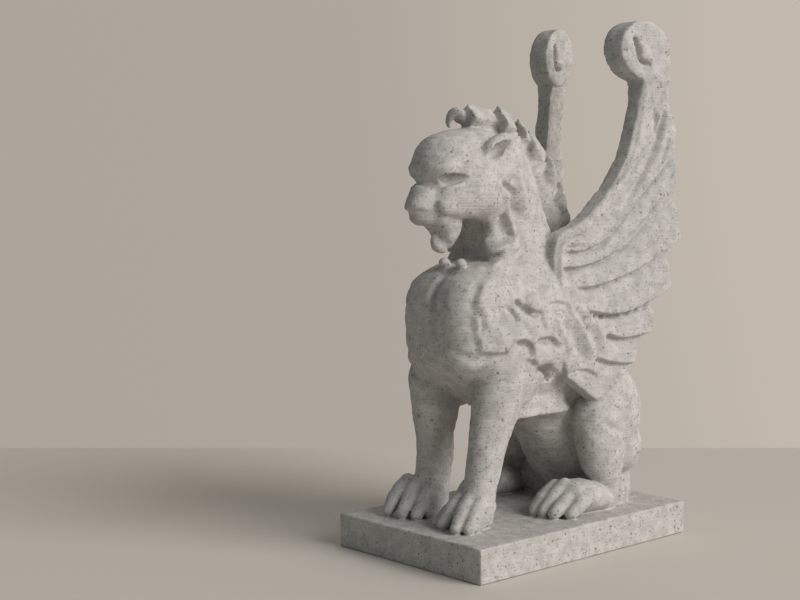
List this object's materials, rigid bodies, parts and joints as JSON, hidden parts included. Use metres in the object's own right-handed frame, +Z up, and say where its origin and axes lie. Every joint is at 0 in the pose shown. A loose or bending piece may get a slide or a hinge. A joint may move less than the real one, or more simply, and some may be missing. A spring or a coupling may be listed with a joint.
{
  "type": "griffin statue",
  "caption": "Seated griffin with a lion's head and body, a crest of tufts down the neck and raised wings that end in scrolls, on a rectangular plinth.",
  "frame": {"origin": "middle of the plinth's underside", "axes": "+Z up, -Y the way the griffin faces, +X its left side"},
  "size_m": [0.0446, 0.068, 0.1186],
  "materials": {
    "marble_filament": "matt warm grey with fine dark specks and faint level layer lines"
  },
  "bodies": {
    "root": {"griffin_statue": "marble_filament"}
  },
  "joints": []
}
